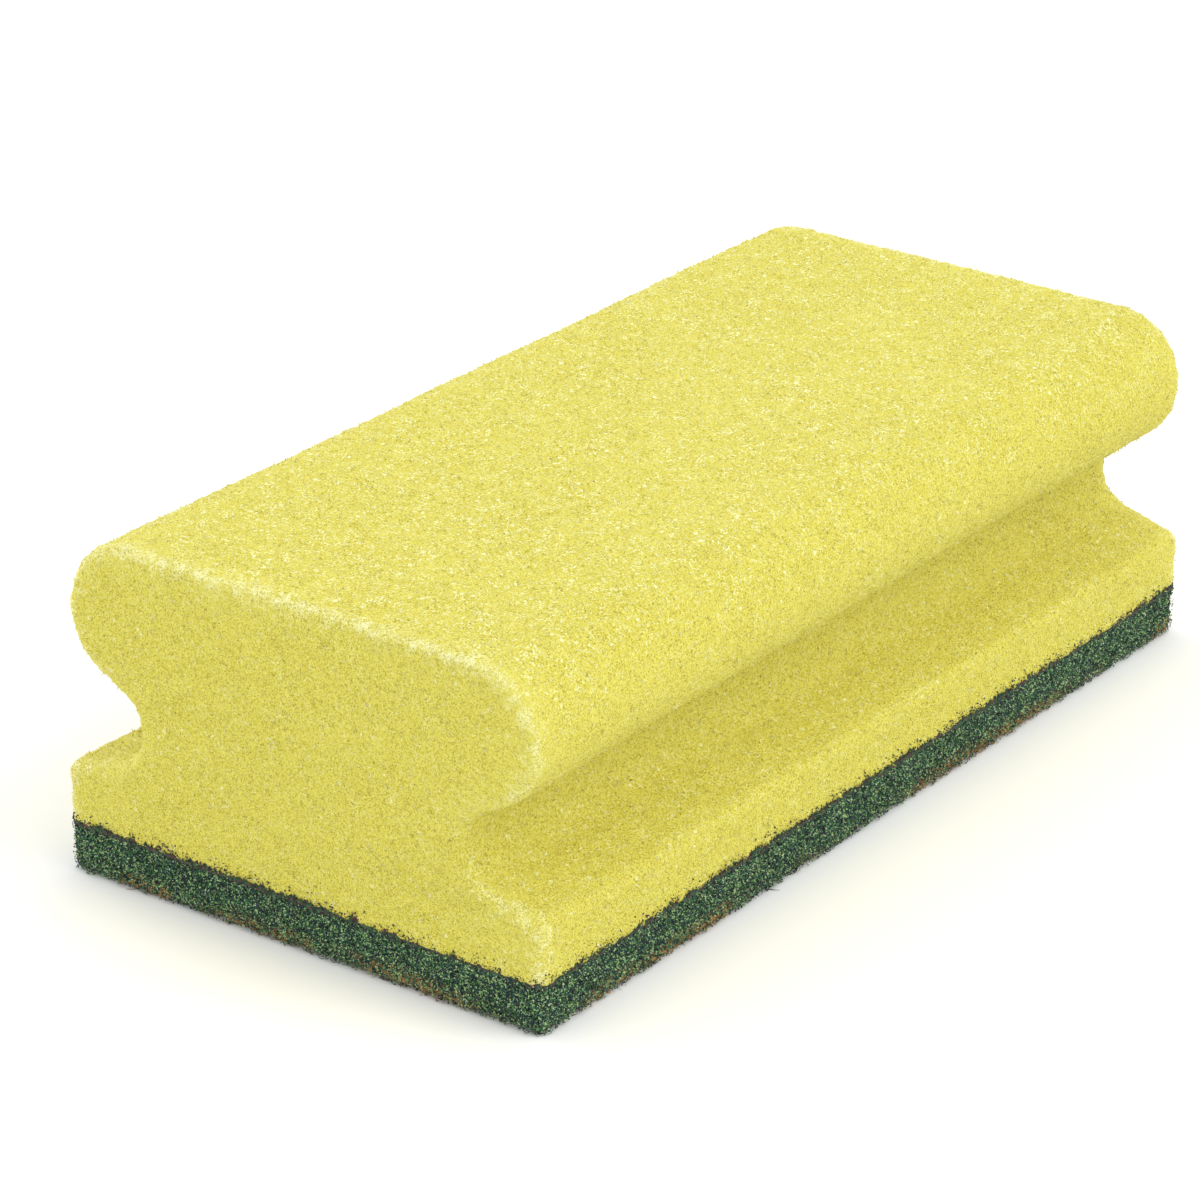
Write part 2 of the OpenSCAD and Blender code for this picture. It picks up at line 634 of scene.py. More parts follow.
@dataclass(frozen=True)
class FoamSection:
    """The section that the foam is cut to, as a line from its lower corner up to the flat top."""

    foot_w: float = 70 * MM
    head_set_in: float = 1 * MM
    shoulder_r: float = 9 * MM
    groove_depth: float = 10.5 * MM
    groove_r: float = 5 * MM
    flank: float = 3.5 * MM
    foot_slope: float = 15.5
    foot_edge_r: float = 1.4 * MM

    def side(self, low: float, high: float) -> Points:
        """Draws the side where Y is positive.

        Args:
            low: the height of the foam's underside.
            high: the height of its top face.

        Returns:
            Points across and up, from the lower corner to where the shoulder meets the flat top.
        """
        head_w = self.foot_w - 2 * self.head_set_in
        shoulder = np.array([head_w / 2 - self.shoulder_r, high - self.shoulder_r])
        groove_y = head_w / 2 - self.groove_depth + self.groove_r
        both_r = self.shoulder_r + self.groove_r
        apart = math.hypot(both_r, self.flank)
        across = groove_y - shoulder[0]
        groove = np.array([groove_y, shoulder[1] - math.sqrt(apart**2 - across**2)])
        lean = math.degrees(math.atan2(self.flank, both_r) - math.acos(across / apart))
        fall = math.radians(self.foot_slope)
        edge_y = self.foot_w / 2 - self.foot_edge_r
        drop = (self.groove_r + self.foot_edge_r + math.sin(fall) * (edge_y - groove_y)) / math.cos(fall)
        edge = np.array([edge_y, groove[1] - drop])
        return np.concatenate([
            [[self.foot_w / 2, low]],
            arc(edge, self.foot_edge_r, 0.0, 90.0 - self.foot_slope),
            arc(groove, self.groove_r, 270.0 - self.foot_slope, 180.0 + lean),
            arc(shoulder, self.shoulder_r, lean, 90.0),
        ])


@dataclass
class FoamBlock:
    """The foam grip block: a rough cut skin, and the ends of cut cell walls that stand out of it."""

    section: FoamSection = field(default_factory=FoamSection)
    finish: FoamFinish = field(default_factory=FoamFinish)
    mesh_step: float = 0.55 * MM
    arris_r: float = 1.4 * MM
    # The painted highlight along the cut edges: its fall-off, the band it is worked out in, and how much
    # painted shade dims it in the groove.
    arris_reach: float = 2.6 * MM
    highlight_band: float = 13 * MM
    groove_shade: float = 0.35
    easing: float = 2.6 * MM
    wave: Layer = Layer(0.22 * MM, 24 * MM)
    lump: Layer = Layer(0.08 * MM, 1.4 * MM)
    grain: Layer = Layer(0.17 * MM, 0.6 * MM)
    # Painted top light: how much painted highlight upright faces and the low foot slope keep.
    least_film: float = 0.36
    foot_film: float = 0.35
    wall_count: int = 48000
    wall_length: Range = (0.14 * MM, 0.62 * MM)
    wall_shortness: float = 2.5
    wall_lean: float = 0.75
    wall_w: float = 0.15 * MM
    wall_girth: Range = (0.5, 1.0)
    wall_root: float = 0.08 * MM
    # Painted highlight on the spikes: which walls get glint colour, and how much.
    bright_share: float = 0.3
    bright_highlight: Range = (0.3, 0.9)
    plain_highlight: float = 0.1
    glint_count: int = 520
    glint_walls: int = 6
    glint_r: float = 0.14 * MM
    least_glint_highlight: float = 0.25
    map_margin: float = 2 * MM
    sole_map_side: float = 0.06
    sole_map_at: Range = (0.92, 0.0)
    seed: int = 11

    def outline(self, low: float, high: float) -> tuple[Points, Points, int, int]:
        """Draws the whole section and the way out at each of its points.

        Args:
            low: the height of the foam's underside.
            high: the height of its top face.

        Returns:
            The points, the outward directions eased round the corners, and how many stretches a side and
            the flat top have.
        """
        side = self.section.side(low, high)
        rows = round(lengths_along(side)[-1] / self.mesh_step)
        right = evenly_spaced(side, rows)
        top_y = right[-1, 0]
        columns = round(2 * top_y / self.mesh_step)
        flat = np.column_stack([np.linspace(top_y, -top_y, columns + 1), np.full(columns + 1, high)])
        line = np.concatenate([right[:-1], flat, right[-2::-1] * [-1, 1]])
        ahead = np.gradient(line, axis=0)
        out = unit(np.column_stack([ahead[:, 1], -ahead[:, 0]]))
        reach = max(1, round(self.easing / self.mesh_step / 2))
        padded = np.pad(out, ((reach, reach), (0, 0)), mode="edge")
        eased = sum(padded[shift:shift + len(out)] for shift in range(2 * reach + 1))
        return line, unit(eased), rows, columns

    def stations(self, length: float) -> Points:
        """Sets the rings of points along the foam.

        Args:
            length: the foam's length.

        Returns:
            Each ring's place along X, its way in from the section, and its place on the bake map.
        """
        steps = round(math.pi / 2 * self.arris_r / self.mesh_step)
        turn = np.linspace(0.0, math.pi / 2, steps + 1)[1:]
        straight = length / 2 - self.arris_r
        middle = np.linspace(-straight, straight, round(2 * straight / self.mesh_step) + 1)
        level = np.column_stack([middle, np.zeros_like(middle), middle])
        end = np.column_stack([
            straight + self.arris_r * np.sin(turn),
            self.arris_r * (1.0 - np.cos(turn)),
            straight + self.arris_r * turn,
        ])
        return np.concatenate([end[::-1] * [-1, 1, -1], level, end])

    def edge_highlights(self, points: Points, line: Points, length: float) -> Points:
        """Says how much painted highlight each point gets near the cut edge of an end face.

        Args:
            points: the skin's points.
            line: the section's outline.
            length: the sponge's length.

        Returns:
            1 on the edge, falling to 0 a few millimetres off it, and less within the groove, where painted
            shade dims the highlight.
        """
        from_end = length / 2 - np.abs(points[:, 0])
        near = from_end < self.highlight_band
        gaps = points[near, None, 1:] - line[None, ::2]
        inward = np.sqrt((gaps**2).sum(axis=2).min(axis=1))
        from_side = self.section.foot_w / 2 - np.abs(points[near, 1])
        set_in = np.minimum(from_side, line[:, 1].max() - points[near, 2])
        groove_shading = np.clip(self.groove_shade * set_in / self.section.groove_depth, 0.0, 1.0)
        edge_highlights = np.zeros(len(points))
        # Painted highlight along the cut edges, dimmed in the groove as painted shade.
        edge_highlights[near] = np.exp(-np.hypot(from_end[near], inward) / self.arris_reach) * (1.0 - groove_shading)
        return edge_highlights

    def end_cap(self, points: Points, ring: Faces, rows: int, columns: int) -> tuple[Faces, Points]:
        """Parts an end face into rows between its two sides.

        Args:
            points: the skin's points so far.
            ring: the numbers of the points round the end.
            rows: how many stretches a side has.
            columns: how many stretches the flat top has.

        Returns:
            The cap's grid of point numbers, and the points with the cap's own ones added.
        """
        across = np.linspace(0.0, 1.0, columns + 1)[None, 1:-1, None]
        right, left = ring[:rows], ring[::-1][:rows]
        inner = points[right][:, None] * (1.0 - across) + points[left][:, None] * across
        numbers = len(points) + np.arange(rows * (columns - 1)).reshape(rows, -1)
        cap = np.vstack([np.column_stack([right, numbers, left]), ring[rows:rows + columns + 1]])
        return cap, np.concatenate([points, inner.reshape(-1, 3)])

    def films(self, points: Points, normals: Points, low: float, high: float) -> Points:
        """Says how much painted highlight the cells get from above: 1 on the top face, least on upright
        faces, and less on upward faces low down such as the foot's slope.
        """
        height = np.interp(points[:, 2], [(low + high) / 2, high], [self.foot_film, 1.0])
        return self.least_film + (1.0 - self.least_film) * np.clip(normals[:, 2], 0.0, 1.0) * height

    def skin(self) -> tuple[Shell, Faces]:
        """Builds the foam's surface.

        Returns:
            The shell, and the quads that its visible faces are.
        """
        low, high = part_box("foam_body")
        length = high.x - low.x
        line, out, rows, columns = self.outline(low.z, high.z)
        stations = self.stations(length)
        rings = line[None] - stations[:, 1, None, None] * out[None]
        x = np.broadcast_to(stations[:, 0, None], rings.shape[:2])
        points = np.concatenate([x[..., None], rings], axis=2).reshape(-1, 3)
        index = np.arange(len(points)).reshape(len(stations), len(line))
        strip = grid_quads(index)[:, ::-1]
        strip_map = place_grid(lengths_along(line), stations[:, 2] + length / 2).reshape(-1, 2)
        faces, maps, sills = [strip], [strip_map[strip] + self.map_margin], []
        for end, ring in enumerate((index[0], index[-1])):
            cap, points = self.end_cap(points, ring, rows, columns)
            quads = grid_quads(cap)
            faces.append(quads if end else quads[:, ::-1])
            start = np.array([end * (self.section.foot_w + self.map_margin), length + 3 * self.map_margin])
            maps.append(points[faces[-1]][..., 1:] - [-self.section.foot_w / 2, low.z] + start)
            sills.append(cap[0])
        quads = np.concatenate(faces)
        # Painted highlight along the cut edges, kept as a mark for the material.
        edge_highlight = self.edge_highlights(points, line, length)
        normals = point_normals(points, quads)
        ends = np.abs(points[:, 0]) > length / 2 - HAIR
        normals[ends] = np.sign(points[ends, :1]) * [1.0, 0.0, 0.0]
        shift = layered_noise(points, (self.wave, self.lump, self.grain), self.seed)
        points = points + normals * shift[:, None]
        # Painted top light: upward faces get more painted highlight than upright ones.
        film = self.films(points, normals, low.z, high.z)
        sole = np.concatenate([sills[0][::-1], index[1:-1, 0], sills[1], index[-2:0:-1, -1]])
        map_side = length + 3 * self.map_margin + (high.z - low.z)
        sole_map = (points[sole][:, :2] / length + 0.5) * self.sole_map_side + self.sole_map_at
        maps = [*(batch / map_side for batch in maps), sole_map[None]]
        marks = {"edge_highlight": edge_highlight, "film": film, "tint": np.zeros(len(points))}
        return Shell(points, [*faces, sole[None]], maps, marks), quads

    def wall_places(self, skin: Shell, quads: Faces, draws: Draws) -> tuple[Points, Points, Faces]:
        """Draws where cell walls stand, those of the glints first and close together.

        Args:
            skin: the foam's surface.
            quads: the faces that they may stand on.
            draws: the random numbers to draw from.

        Returns:
            The places, the way straight out of the skin there, and the numbers of the faces.
        """
        normals = quad_normals(skin.points, quads)
        area = np.linalg.norm(normals, axis=1)
        chosen = draws.choice(len(quads), self.wall_count, p=area / area.sum())
        s, t = draws.random((2, self.wall_count, 1))
        a, b, c, d = (skin.points[quads[chosen, k]] for k in range(4))
        root = a * (1 - s) * (1 - t) + b * s * (1 - t) + c * s * t + d * (1 - s) * t
        out = unit(normals[chosen])
        held = np.repeat(np.arange(self.glint_count) * self.glint_walls, self.glint_walls)
        glints = len(held)
        spread = draws.normal(0.0, self.glint_r, (glints, 3))
        out[:glints] = out[held]
        chosen[:glints] = chosen[held]
        root[:glints] = root[held] + spread - out[held] * (spread * out[held]).sum(axis=1, keepdims=True)
        return root, out, chosen

    def cell_walls(self, skin: Shell, quads: Faces) -> Shell:
        """Builds the cut ends of cell walls, each a slim closed spike rooted in the skin.

        Args:
            skin: the foam's surface.
            quads: the faces that the spikes may stand on.

        Returns:
            The spikes as one shell.
        """
        draws = np.random.default_rng(self.seed)
        root, out, chosen = self.wall_places(skin, quads, draws)
        way = unit(out + self.wall_lean * draws.normal(size=root.shape))
        shortest, longest = self.wall_length
        share = draws.random((self.wall_count, 1)) ** self.wall_shortness
        length = shortest + (longest - shortest) * share
        aside = unit(np.cross(way, draws.normal(size=root.shape)))
        width = self.wall_w * draws.uniform(*self.wall_girth, (self.wall_count, 1))
        feet = three_round(root - way * self.wall_root, aside, np.cross(way, aside), width)
        points = np.stack([*feet, root + way * length], axis=1)
        sides = np.array([[0, 1, 3], [1, 2, 3], [2, 0, 3], [0, 2, 1]])
        spots = np.array([[0.15, 0.15], [0.85, 0.15], [0.5, 0.85], [0.5, 0.4]])
        edge_highlight, film = (skin.marks[mark][quads[chosen]].mean(axis=1) for mark in ("edge_highlight", "film"))
        # Painted highlight: some walls, and every glint wall, get glint colour, more under the painted top
        # light.
        bright = draws.random(self.wall_count) < self.bright_share * film
        tint = np.where(bright, draws.uniform(*self.bright_highlight, self.wall_count), self.plain_highlight)
        glints = self.glint_count * self.glint_walls
        tint[:glints] = self.least_glint_highlight + (1.0 - self.least_glint_highlight) * film[:glints]
        return many(points, [sides], spots, {"edge_highlight": edge_highlight, "film": film, "tint": tint})

    def build(self) -> None:
        """Makes and dresses the foam's two pieces."""
        shell, quads = self.skin()
        material = self.finish.material()
        block = shell.dressed("foam_block", material, Slot.FOAM)
        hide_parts("foam_body")
        self.cell_walls(shell, quads).dressed("foam_cut_cell_walls", material, Slot.FOAM)


@dataclass(frozen=True)
class Rim:
    """The rounded rectangle that pad, adhesive and foam are cut to, seen from above."""

    length: float
    width: float

    def walk(self, step: float) -> tuple[Points, Points]:
        """Goes once round the rim.

        Args:
            step: about how far apart the points are.

        Returns:
            The points and the directions straight out from them, in the plane.
        """
        half = np.array([self.length, self.width]) / 2 - CORNER_R
        corners = [
            arc(half * signs, CORNER_R, start, start + 90.0)
            for signs, start in (((1, 1), 0.0), ((-1, 1), 90.0), ((-1, -1), 180.0), ((1, -1), 270.0))
        ]
        ring = np.concatenate([*corners, corners[0][:1]])
        ring = evenly_spaced(ring, round(lengths_along(ring)[-1] / step))[:-1]
        return ring, unit(ring - np.clip(ring, -half, half))


def rim_of(node: str) -> Rim:
    """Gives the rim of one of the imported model's solids."""
    low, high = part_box(node)
    return Rim(high.x - low.x, high.y - low.y)


@dataclass
class AdhesiveBead:
    """The adhesive: a plate whose squeezed-out edge shows as a ragged dark line, and specks above it."""

    finish: AdhesiveFinish = field(default_factory=AdhesiveFinish)
    step: float = 0.22 * MM
    proud: float = 0.08 * MM
    proud_spread: Range = (0.2, 1.2)
    inset: float = 0.8 * MM
    rise: float = 0.22 * MM
    spike: float = 0.6 * MM
    spike_rareness: int = 3
    swell_w: float = 0.5 * MM
    band_map: tuple[Range, Range] = ((0.02, 0.7), (0.98, 0.98))
    lid_map_side: float = 0.48
    lid_map_at: tuple[Range, Range] = ((0.25, 0.3), (0.75, 0.3))
    speck_count: int = 5600
    speck_r: Range = (0.05 * MM, 0.15 * MM)
    speck_squash: Range = (0.6, 1.4)
    speck_spread: float = 0.44 * MM
    speck_reach: float = 1.8 * MM
    seed: int = 23

    def plate(self) -> Shell:
        """Builds the plate with its ragged edge.

        Returns:
            The plate's shell.
        """
        low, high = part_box("adhesive_film")
        ring, out = rim_of("adhesive_film").walk(self.step)
        count = len(ring)
        draws = np.random.default_rng(self.seed)
        flat = np.column_stack([ring, np.zeros(count)])
        swell = 0.5 + 0.5 * lattice_noise(flat, self.swell_w, self.seed)
        up = high.z + self.rise * swell + self.spike * draws.random(count) ** self.spike_rareness
        down = low.z - self.spike * draws.random(count) ** self.spike_rareness
        skirt = self.proud * draws.uniform(*self.proud_spread, count)
        inset = np.full(count, -self.inset)
        heights = [np.full(count, high.z), up, (up + down) / 2, down, np.full(count, low.z)]
        outward = [inset, skirt * 0.5, skirt, skirt * 0.5, inset]
        levels = zip(outward, heights, strict=True)
        rows = [np.column_stack([ring + out * reach[:, None], z]) for reach, z in levels]
        points = np.concatenate(rows)
        index = np.arange(len(points)).reshape(len(rows), count)
        band = grid_quads(closed(index))
        lids = [index[0][None], index[-1][::-1][None]]
        (first_u, first_v), (last_u, last_v) = self.band_map
        across, height = np.linspace(first_u, last_u, count + 1), np.linspace(first_v, last_v, len(rows))
        band_map = quad_corners(place_grid(across, height))
        length = high.x - low.x
        lid_maps = [
            points[lid][..., :2] / length * self.lid_map_side + at
            for lid, at in zip(lids, self.lid_map_at, strict=True)
        ]
        return Shell(points, [band, *lids], [band_map, *lid_maps], smooth=False)

    def specks(self) -> Shell:
        """Builds the stray specks on the foam's sides.

        Returns:
            The specks as one shell.
        """
        draws = np.random.default_rng(self.seed + 1)
        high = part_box("adhesive_film")[1]
        ring, out = rim_of("adhesive_film").walk(self.step)
        chosen = draws.integers(0, len(ring), self.speck_count)
        lift = draws.exponential(self.speck_spread, self.speck_count) % self.speck_reach
        places = np.column_stack([ring[chosen] + out[chosen] * self.proud, high.z + lift])
        radii = draws.uniform(*self.speck_r, (self.speck_count, 1))
        return crumbs(places, radii * draws.uniform(*self.speck_squash, (self.speck_count, 3)), {})

    def build(self) -> None:
        """Makes and dresses the adhesive's two pieces."""
        material = self.finish.material()
        plate = self.plate().dressed("adhesive_plate", material, Slot.ADHESIVE)
        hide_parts("adhesive_film")
        self.specks().dressed("adhesive_specks", material, Slot.ADHESIVE)


@dataclass(frozen=True)
class FibreBatch:
    """A batch of short kinked fibres on one part of the pad."""

    lay: Lay
    count: int
    knots: int
    length: Range
    radius: float = 0.05 * MM
    girth: Range = (0.7, 1.4)
    tip: float = 0.5
    slant: float = 0.7
    stray: float = 0.14
    bow: float = 0.16
    curl: float = 0.3 * MM
    kink: float = 0.09 * MM
    nudge: float = 0.001
    map_edge: float = 0.1
    map_step: float = 0.27
    seed: int = 41

    def paths(self, middle: Points, out: Points, draws: Draws) -> Points:
        """Draws the fibres as kinked lines.

        Args:
            middle: where each fibre's middle is.
            out: the direction straight out of the pad there.
            draws: the random numbers to draw from.

        Returns:
            For each fibre its knots, one a row.
        """
        near_level = UP + self.nudge * draws.normal(size=out.shape)
        any_way = draws.normal(size=out.shape) * [1.0, 1.0, 0.0]
        level = unit(np.cross(out, near_level) if self.lay is Lay.RIM else any_way)
        turn = draws.normal(0.0, self.slant, (self.count, 1))
        away = out * draws.normal(0.0, self.stray, (self.count, 1))
        way = unit(level * np.cos(turn) + np.cross(out, level) * np.sin(turn) + away)
        length = draws.uniform(*self.length, (self.count, 1, 1))
        along = np.linspace(-0.5, 0.5, self.knots)[None, :, None]
        sweep = draws.normal(0.0, self.bow, (self.count, 1, 1)) * length
        curl = draws.uniform(0.0, self.curl, (self.count, 1, 1))
        bend = 1.0 - (2 * along) ** 2
        line = middle[:, None] + way[:, None] * along * length + np.cross(out, way)[:, None] * sweep * bend
        kinks = draws.normal(0.0, self.kink, (self.count, self.knots, 3))
        return line + out[:, None] * curl * bend + kinks

    def rods(self, lines: Points, draws: Draws) -> Shell:
        """Builds a slim three-sided rod round each line, with tapered ends.

        Args:
            lines: the knots of each fibre.
            draws: the random numbers to draw from.

        Returns:
            The rods as one shell.
        """
        ahead = unit(np.gradient(lines, axis=1))
        aside = unit(np.cross(ahead, draws.normal(size=(self.count, 1, 3))))
        ends = np.isin(np.arange(self.knots), (0, self.knots - 1))
        taper = np.where(ends, self.tip, 1.0)[None, :, None]
        girth = draws.uniform(*self.girth, (self.count, 1, 1)) * self.radius * taper
        points = np.stack(three_round(lines, aside, np.cross(ahead, aside), girth), axis=2)
        index = np.arange(self.knots * 3).reshape(self.knots, 3)
        quads = grid_quads(closed(index))[:, ::-1]
        tips = np.stack([index[0][::-1], index[-1]])
        knot_at, side_at = np.divmod(np.arange(index.size), 3)
        along = self.map_edge + (1.0 - 2 * self.map_edge) * knot_at / (self.knots - 1)
        spots = np.column_stack([along, self.map_edge + self.map_step * side_at])
        return many(points.reshape(self.count, -1, 3), [quads, tips], spots, {}, smooth=True)


@dataclass
class ScouringPad:
    """The abrasive pad: a springy web of fibres, with loose fibres and grit over its rim and its sole."""

    finish: WebFinish = field(default_factory=WebFinish)
    mesh_step: float = 0.5 * MM
    edge_r: float = 1.2 * MM
    nap: float = 0.26 * MM
    pile: float = 0.17 * MM
    tuft: Layer = Layer(0.10 * MM, 0.6 * MM)
    lump: Layer = Layer(0.2 * MM, 3.0 * MM)
    off_floor: float = 0.05 * MM
    web_tint: Range = (0.21, 0.61)
    map_edge: float = 0.02
    strips: int = 3
    strip_step: float = 0.07
    strips_at: float = 0.56
    lid_map_side: float = 0.12
    lid_map_at: Range = (0.0, 0.82)
    brown_low: float = 1.15
    brown_up_to: float = 2.6 * MM
    brown_inward: float = 3.0 * MM
    brown_inside: float = 0.22
    brown_fibres: float = 0.7
    over_seam: float = 0.25 * MM
    height_odds: Range = (0.95, 1.1)
    rim_depth: Range = (-0.2 * MM, 0.35 * MM)
    sole_margin: float = 0.8 * MM
    sole_depth: Range = (0.08 * MM, 0.34 * MM)
    loose_reach: float = 0.8 * MM
    batches: tuple[FibreBatch, ...] = (
        FibreBatch(Lay.RIM, count=5200, knots=4, length=(0.3 * MM, 1.2 * MM), curl=0.2 * MM),
        FibreBatch(Lay.SOLE, count=4600, knots=5, length=(1.0 * MM, 3.6 * MM), stray=0.0, curl=0.1 * MM),
    )
    fibre_room: float = 1.6
    fibre_tint: Range = (0.08, 0.72)
    grit_counts: tuple[tuple[Lay, int], ...] = ((Lay.RIM, 11250), (Lay.SOLE, 3750))
    grit_r: Range = (0.06 * MM, 0.17 * MM)
    grit_squash: Range = (0.7, 1.3)
    grit_room: float = 1.4
    grit_tint: Range = (-0.06, 0.92)
    seed: int = 37

    def sole_grid(self) -> tuple[Points, Faces]:
        """Parts the sole into squares.

        Returns:
            The points, and the grid of their numbers.
        """
        low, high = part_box("scouring_pad")
        counts = [round((high[k] - low[k]) / self.mesh_step) + 1 for k in range(2)]
        xs, ys = (np.linspace(low[k], high[k], counts[k]) for k in range(2))
        flat = np.stack(np.meshgrid(xs, ys, indexing="ij"), axis=-1).reshape(-1, 2)
        return np.column_stack([flat, np.full(len(flat), low.z)]), np.arange(len(flat)).reshape(counts)

    def box_grid(self) -> tuple[Points, list[Faces], list[Points]]:
        """Parts the sole and, twice as finely, the rim of the pad's box.

        Returns:
            The points, the faces with the lid last, and the faces' places on the bake map.
        """
        low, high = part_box("scouring_pad")
        base, index = self.sole_grid()
        edge = np.concatenate([index[:-1, 0], index[-1, :-1], index[:0:-1, -1], index[0, :0:-1]])
        rows = round(2 * (high.z - low.z) / self.mesh_step)
        loop = base[edge]
        halves = np.stack([loop, (loop + np.roll(loop, -1, axis=0)) / 2], axis=1).reshape(-1, 3)
        rings = [halves + UP * (high.z - low.z) * row / rows for row in range(1, rows + 1)]
        ring = closed(index.size + np.arange(rows * len(halves)).reshape(rows, -1))
        lower, upper = np.append(edge, edge[0]), ring[0]
        joints = np.column_stack([lower[:-1], lower[1:], upper[2::2], upper[1::2], upper[:-1:2]])
        sole = grid_quads(index)[:, ::-1]
        length = high.x - low.x
        along = np.linspace(0.0, self.strips, len(halves) + 1)
        height = np.arange(rows + 1) / rows * (high.z - low.z) / length
        wall_map = place_grid(along, height)
        foot, head = wall_map[0], wall_map[1]
        joint_map = np.stack([foot[:-1:2], foot[2::2], head[2::2], head[1::2], head[:-1:2]], axis=1)
        maps = [
            (base[sole][..., :2] - [low.x, low.y]) / length,
            self.stacked(quad_corners(wall_map[1:])[:, ::-1]),
            self.stacked(joint_map),
            (halves[None, :, :2] - [low.x, low.y]) / length * self.lid_map_side + self.lid_map_at,
        ]
        faces = [sole, grid_quads(ring)[:, ::-1], joints, ring[-1:, :-1]]
        maps = [batch * (1.0 - 2 * self.map_edge) + self.map_edge for batch in maps]
        return np.concatenate([base, *rings]), faces, maps

    def stacked(self, places: Points) -> Points:
        """Lays the stretches of the rim's strip above each other on the bake map.

        Args:
            places: along the strip, as a number of stretches, and up it, for each corner of each face.

        Returns:
            The places on the bake map.
        """
        reached = np.floor(places[..., :1].min(axis=1, keepdims=True) + TINY)
        strip = np.minimum(reached, self.strips - 1)
        return places + np.concatenate([-strip, self.strips_at + self.strip_step * strip], axis=-1)

    def rounded(self, points: Points) -> Points:
        """Rounds the box's upright corners and its lower edges.

        Args:
            points: the box's points.

        Returns:
            The moved points.
        """
        low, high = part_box("scouring_pad")
        reach = np.array([CORNER_R, CORNER_R, self.edge_r])
        inner = np.clip(points, np.array(low) + reach, np.array(high) - reach * [1.0, 1.0, 0.0])
        off = points - inner
        return inner + unit(off / reach) * reach * (np.abs(off).max(axis=1, keepdims=True) > 0)

    def brown(self, points: Points) -> Points:
        """Says how much brown abrasive shows at each point.

        Args:
            points: the points, one a row.

        Returns:
            A value from 0 to 1 for each: most along the lower edge, and little on the sole.
        """
        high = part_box("scouring_pad")[1]
        from_edge = (np.array([high.x, high.y]) - np.abs(points[:, :2])).min(axis=1)
        inward = np.clip(from_edge / self.brown_inward, 0.0, 1.0)
        lowness = np.clip(self.brown_low - points[:, 2] / self.brown_up_to, 0.0, 1.0)
        return lowness * (1.0 - (1.0 - self.brown_inside) * inward)

    def web(self) -> Shell:
        """Builds the web's rough body.

        Returns:
            The body's shell.
        """
        low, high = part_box("scouring_pad")
        draws = np.random.default_rng(self.seed)
        points, faces, maps = self.box_grid()
        points = self.rounded(points)
        quads = np.concatenate([faces[0], faces[1], faces[2][:, [0, 1, 2, 4]]])
        normals = point_normals(points, quads)
        shift = layered_noise(points, (self.tuft, self.lump), self.seed)
        shift += self.pile * draws.uniform(-1.0, 1.0, len(points))
        points = points + normals * (shift - self.nap)[:, None]
        points[:, 2] = np.clip(points[:, 2], low.z + self.off_floor, high.z)
        tint = draws.uniform(*self.web_tint, len(points))
        return Shell(points, faces, maps, {"tint": tint, "grit": self.brown(points)}, smooth=False)

    def roots(self, lay: Lay, count: int, draws: Draws) -> tuple[Points, Points]:
        """Draws places on the pad's surface.

        Args:
            lay: the part of the surface.
            count: how many places.
            draws: the random numbers to draw from.

        Returns:
            The places, and the direction straight out of the pad at each.
        """
        low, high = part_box("scouring_pad")
        if lay is Lay.SOLE:
            reach = np.array([high.x, high.y]) - self.sole_margin
            flat = draws.uniform(-reach, reach, (count, 2))
            height = low.z + draws.uniform(*self.sole_depth, count)
            return np.column_stack([flat, height]), np.tile(-UP, (count, 1))
        ring, out = rim_of("scouring_pad").walk(self.mesh_step)
        chosen = draws.integers(0, len(ring), count)
        height = low.z + (high.z - low.z + self.over_seam) * draws.beta(*self.height_odds, count)
        sunk = np.clip(self.edge_r - height + low.z, 0.0, self.edge_r)
        tuck = self.edge_r - np.sqrt(self.edge_r**2 - sunk**2)
        inward = tuck + draws.uniform(*self.rim_depth, count)
        spot = ring[chosen] - out[chosen] * inward[:, None]
        return np.column_stack([spot, height]), np.column_stack([out[chosen], np.zeros(count)])

    def kept_in(self, places: Points, girth: float) -> Points:
        """Keeps loose parts off the floor, near the seam and near the pad.

        Args:
            places: the middles of the parts.
            girth: how thick they are.

        Returns:
            The places, moved where they have to be.
        """
        low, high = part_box("scouring_pad")
        reach = np.array([high.x + self.loose_reach, high.y + self.loose_reach, high.z + self.over_seam])
        return np.clip(places, [-reach[0], -reach[1], low.z + girth], reach)

    def fibres(self, batch: FibreBatch) -> Shell:
        """Builds the fibres of a batch.

        Args:
            batch: how many there are, where and of what size.

        Returns:
            The fibres as one shell.
        """
        draws = np.random.default_rng(batch.seed)
        middle, out = self.roots(batch.lay, batch.count, draws)
        lines = self.kept_in(batch.paths(middle, out, draws), self.fibre_room * batch.radius)
        shell = batch.rods(lines, draws)
        each = len(shell.points) // batch.count
        shell.marks["tint"] = np.repeat(draws.uniform(*self.fibre_tint, batch.count), each)
        rusty = np.repeat(draws.random(batch.count) < self.brown_fibres, each)
        shell.marks["grit"] = self.brown(shell.points) * rusty
        return shell

    def grit(self) -> Shell:
        """Builds the grains of abrasive and resin.

        Returns:
            The grains as one shell.
        """
        draws = np.random.default_rng(self.seed + 1)
        parts = [self.roots(lay, share, draws) for lay, share in self.grit_counts]
        places = np.concatenate([spot + out * self.grit_r[0] for spot, out in parts])
        count = len(places)
        radii = draws.uniform(*self.grit_r, (count, 1)) * draws.uniform(*self.grit_squash, (count, 3))
        places = self.kept_in(places, self.grit_room * self.grit_r[1])
        tint = draws.uniform(*self.grit_tint, count)
        return crumbs(places, radii, {"tint": tint, "grit": self.brown(places)})

